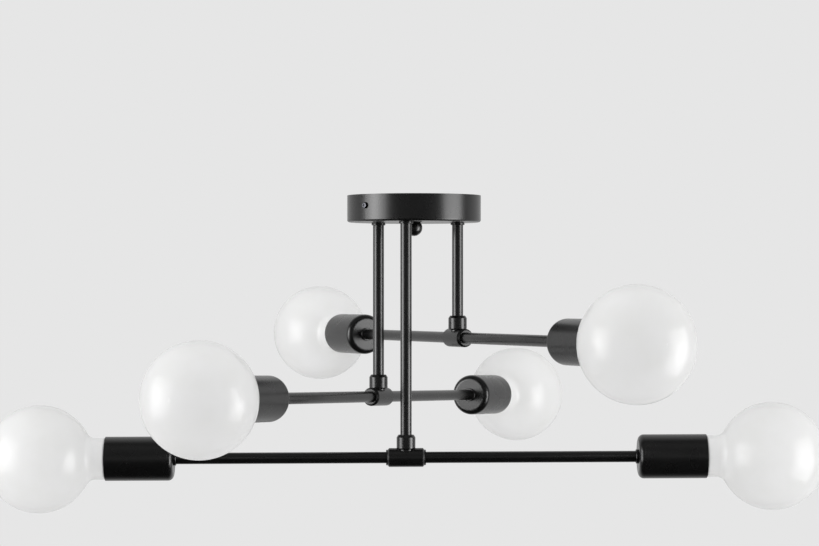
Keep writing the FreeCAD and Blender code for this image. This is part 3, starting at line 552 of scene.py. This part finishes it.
def earth_wiring():
    """The striped earth lead with its crimped ring tag under the strap."""
    route = [(-17.5, 0), (-12.2, 0), (-5.5, -11), (8, -11)]
    wire("earth_wire", [STRAP @ Vector((x, y, EARTH_LEVEL)) for x, y in route],
         EARTH_RADIUS, EARTH, "earth_sheath", "root", "earth_lead")
    bottom, hole, rim = TAG_TOP - TAG_SHEET, 1.7, 4
    ring = lathed("tag_ring", [
        (hole, bottom + 0.05), (rim - 0.1, bottom + 0.05), (rim, bottom + 0.2),
        (rim, TAG_TOP - 0.15), (rim - 0.1, TAG_TOP - 0.02), (hole, TAG_TOP - 0.02),
        (hole, bottom + 0.05)], 48)
    ring.data.transform(Matrix.Translation((EARTH_SCREW * MM, 0, 0)))
    bore, wall, crimp, barrel_start, tongue_middle = 1.05, 1.4, 1.25, -17.6, -17.7
    barrel = lathed("tag_barrel", [
        (bore, 0), (wall, 0), (wall + 0.05, 0.3), (crimp, 1.6), (wall + 0.05, 2.9), (wall, 3.3),
        (bore, 3.3), (bore, 0)], 32)
    barrel.data.transform(Matrix.Translation(Vector((barrel_start, 0, EARTH_LEVEL)) * MM)
                          @ Matrix.Rotation(math.radians(90), 4, "Y"))
    pick()
    bpy.ops.mesh.primitive_cube_add(size=MM)
    tongue = bpy.context.object
    tongue.data.transform(Matrix.Translation(Vector((tongue_middle, 0, bottom + 0.25)) * MM)
                          @ Matrix.Diagonal((2, 2, 0.5, 1)))
    apply_modifier(tongue, "BEVEL", width=0.1 * MM, segments=2)
    pick(ring, barrel, tongue)
    bpy.ops.object.join()
    merge_points(ring)
    finished(ring, SOLDER, "zinc")
    fitted(ring, "earth_ring_tag", STRAP, "root", "earth_lead")
    return (ring,)


# What the lamps aim at, in millimetres
MIDDLE = (0, 0, -190)
# Each lamp: its centre in millimetres, width, height and brightness, and what shows its light.
# The side boxes stand twice: the coat mirrors narrow ones with a brighter core, as in the
# photograph, and the glass is lit by wide ones.
LAMPS = {
    "left_softbox": ((-1400, -500, -60), 1200, 1300, 4.4, "coat"),
    "left_softbox_core": ((-1390, -497, -60), 460, 560, 4.0, "coat"),
    "right_softbox": ((880, -350, -280), 640, 900, 5.2, "coat"),
    "right_softbox_core": ((870, -347, -280), 300, 400, 4.0, "coat"),
    "left_fill": ((-1760, -700, -200), 1300, 1800, 2.4, "glass"),
    "right_fill": ((1760, -700, -400), 1300, 1800, 2.2, "glass"),
    "back_left_fill": ((-1300, 500, -150), 1200, 1600, 0.5, "glass"),
    "back_right_fill": ((1300, 500, -150), 1200, 1600, 0.8, "glass"),
    "back_fill": ((0, 2600, -190), 3000, 2400, 1.6, "glass"),
    "front_fill": ((0, -2600, -190), 3000, 2400, 0.87, "glass"),
    "top_fill": ((0, -300, 1300), 3000, 2600, 1.08, "glass"),
    "bottom_fill": ((0, -300, -1700), 3000, 2600, 1.04, "glass"),
}
BACKGROUND = linear("#e6e6e6")
DARK_FLOOR = linear("#202020")
# The room in front of the light: how bright it is at each height of a ray's way, from -1 for
# straight down to 1 for straight up, and from which to which Y of the way it fades in
ROOM = ((-0.1, 0.05), (0.02, 0.27), (0.1, 0.27), (0.3, 0.09), (0.7, 0.17), (1.0, 0.36))
ROOM_FADE = (0.2, -0.6)
# How much of the pale backdrop the object mirrors at most, and from which to which Y it fades
# in: that of a ray's way in the world, and that of the place on the floor in metres
MIRRORED = 0.88
WORLD_FADE, FLOOR_FADE = (-0.1, 0.5), (0.65, 8.4)
# The floor's size and level in metres: so low that a view from below, 5 m away, is above it
FLOOR_SIZE, FLOOR_LEVEL = 52, -7
# How much of the floor under the object is lit paint that takes its shadow, and the distances
# from its middle in metres between which that fades out
SHADED, SHADE_FADE = 0.12, (3.2, 19.4)


def softboxes():
    """The studio's lamps, all aimed at the middle of the light."""
    for name, (centre, width, height, brightness, shown_by) in LAMPS.items():
        data = bpy.data.lights.new(name, "AREA")
        data.shape = "RECTANGLE"
        data.size, data.size_y = width * MM, height * MM
        data.energy = brightness * math.pi * data.size * data.size_y
        lamp = bpy.data.objects.new(name, data)
        bpy.context.scene.collection.objects.link(lamp)
        lamp.location = Vector(centre) * MM
        way = Vector(MIDDLE) - Vector(centre)
        lamp.rotation_euler = way.to_track_quat("-Z", "Y").to_euler()
        lamp.visible_diffuse = shown_by == "glass"
        lamp.visible_glossy = shown_by == "coat"


def shown_to(tree, depth, fade):
    """How far a ray sees the pale backdrop.

    The camera sees all of it, and the object mirrors more of it the further a ray goes behind."""
    behind = add(tree, "ShaderNodeMapRange", {
        "Value": depth, "From Min": fade[0], "From Max": fade[1], "To Max": MIRRORED},
        interpolation_type="SMOOTHSTEP")
    path = add(tree, "ShaderNodeLightPath")
    mirrored = add(tree, "ShaderNodeMath", {
        0: path.outputs["Is Glossy Ray"], 1: path.outputs["Is Transmission Ray"]},
        operation="MAXIMUM")
    reached = add(tree, "ShaderNodeMath", {
        0: mirrored.outputs[0], 1: behind.outputs["Result"]}, operation="MULTIPLY")
    return add(tree, "ShaderNodeMath", {
        0: path.outputs["Is Camera Ray"], 1: reached.outputs[0]}, operation="MAXIMUM").outputs[0]


def studio_world():
    """The pale surround as the camera sees it, and the dim room in front of the object."""
    world = bpy.data.worlds.new("studio")
    bpy.context.scene.world = world
    world.use_nodes = True
    tree = world.node_tree
    tree.nodes.clear()
    way = add(tree, "ShaderNodeSeparateXYZ", {
        0: add(tree, "ShaderNodeTexCoord").outputs["Generated"]})
    height = add(tree, "ShaderNodeMapRange", {"Value": way.outputs["Z"], "From Min": -1.0})
    room = add(tree, "ShaderNodeValToRGB", {0: height.outputs["Result"]})
    for number, (level, brightness) in enumerate(ROOM):
        if number > 1:
            room.color_ramp.elements.new(1.0)
        stop = room.color_ramp.elements[number]
        stop.position, stop.color = (level + 1) / 2, (brightness, brightness, brightness, 1)
    front = add(tree, "ShaderNodeMapRange", {
        "Value": way.outputs["Y"], "From Min": ROOM_FADE[0], "From Max": ROOM_FADE[1]},
        interpolation_type="SMOOTHSTEP")
    strength = add(tree, "ShaderNodeMath", {
        0: front.outputs["Result"], 1: room.outputs["Color"]}, operation="MULTIPLY")
    seen = add(tree, "ShaderNodeBackground", {"Color": BACKGROUND, "Strength": 1.0})
    cast = add(tree, "ShaderNodeBackground", {
        "Color": linear("#ffffff"), "Strength": strength.outputs[0]})
    mixed = add(tree, "ShaderNodeMixShader", {
        0: shown_to(tree, way.outputs["Y"], WORLD_FADE), 1: cast.outputs[0], 2: seen.outputs[0]})
    add(tree, "ShaderNodeOutputWorld", {"Surface": mixed.outputs[0]})


def studio_floor():
    """A plain floor, pale as the camera sees it, whose reflected light stays low."""
    pick()
    bpy.ops.mesh.primitive_plane_add(size=FLOOR_SIZE, location=(0, 0, FLOOR_LEVEL))
    floor = bpy.context.object
    floor.name = "studio_floor"
    material = bpy.data.materials.new("matt_floor_paint")
    material.use_nodes = True
    tree = material.node_tree
    tree.nodes.clear()
    place = add(tree, "ShaderNodeTexCoord").outputs["Object"]
    depth = add(tree, "ShaderNodeSeparateXYZ", {0: place}).outputs["Y"]
    radius = add(tree, "ShaderNodeVectorMath", {0: place}, operation="LENGTH")
    share = add(tree, "ShaderNodeMapRange", {
        "Value": radius.outputs["Value"], "From Min": SHADE_FADE[0], "From Max": SHADE_FADE[1],
        "To Min": SHADED, "To Max": 0.0}, interpolation_type="SMOOTHSTEP")
    seen = add(tree, "ShaderNodeEmission", {"Color": BACKGROUND, "Strength": 1.0})
    pale_paint = add(tree, "ShaderNodeBsdfDiffuse", {"Color": BACKGROUND})
    dark_paint = add(tree, "ShaderNodeBsdfDiffuse", {"Color": DARK_FLOOR})
    pale = add(tree, "ShaderNodeMixShader", {
        0: share.outputs["Result"], 1: seen.outputs[0], 2: pale_paint.outputs[0]})
    mixed = add(tree, "ShaderNodeMixShader", {
        0: shown_to(tree, depth, FLOOR_FADE), 1: dark_paint.outputs[0], 2: pale.outputs[0]})
    add(tree, "ShaderNodeOutputMaterial", {"Surface": mixed.outputs[0]})
    floor.data.materials.append(material)


def photo_camera():
    """The camera at the photograph's viewing angle."""
    data = bpy.data.cameras.new("photo_camera")
    data.sensor_width = SENSOR_WIDTH
    data.lens = CAMERA_FOCUS_PX * SENSOR_WIDTH / PHOTO_WIDTH
    data.clip_end = CAMERA_REACH
    camera = bpy.data.objects.new("photo_camera", data)
    bpy.context.scene.collection.objects.link(camera)
    camera.location = Vector(CAMERA_PLACE) * MM
    camera.rotation_euler = (math.radians(90 + CAMERA_PITCH), 0, -math.radians(CAMERA_YAW))
    bpy.context.scene.camera = camera


finish_nodes()
canopy_wiring()
arm_wiring()
for pattern_piece in bulb_caps() + holder_metal() + centre_stud() + earth_wiring():
    bpy.data.objects.remove(pattern_piece)
softboxes()
studio_world()
studio_floor()
photo_camera()
bpy.context.scene.view_settings.view_transform = "Standard"
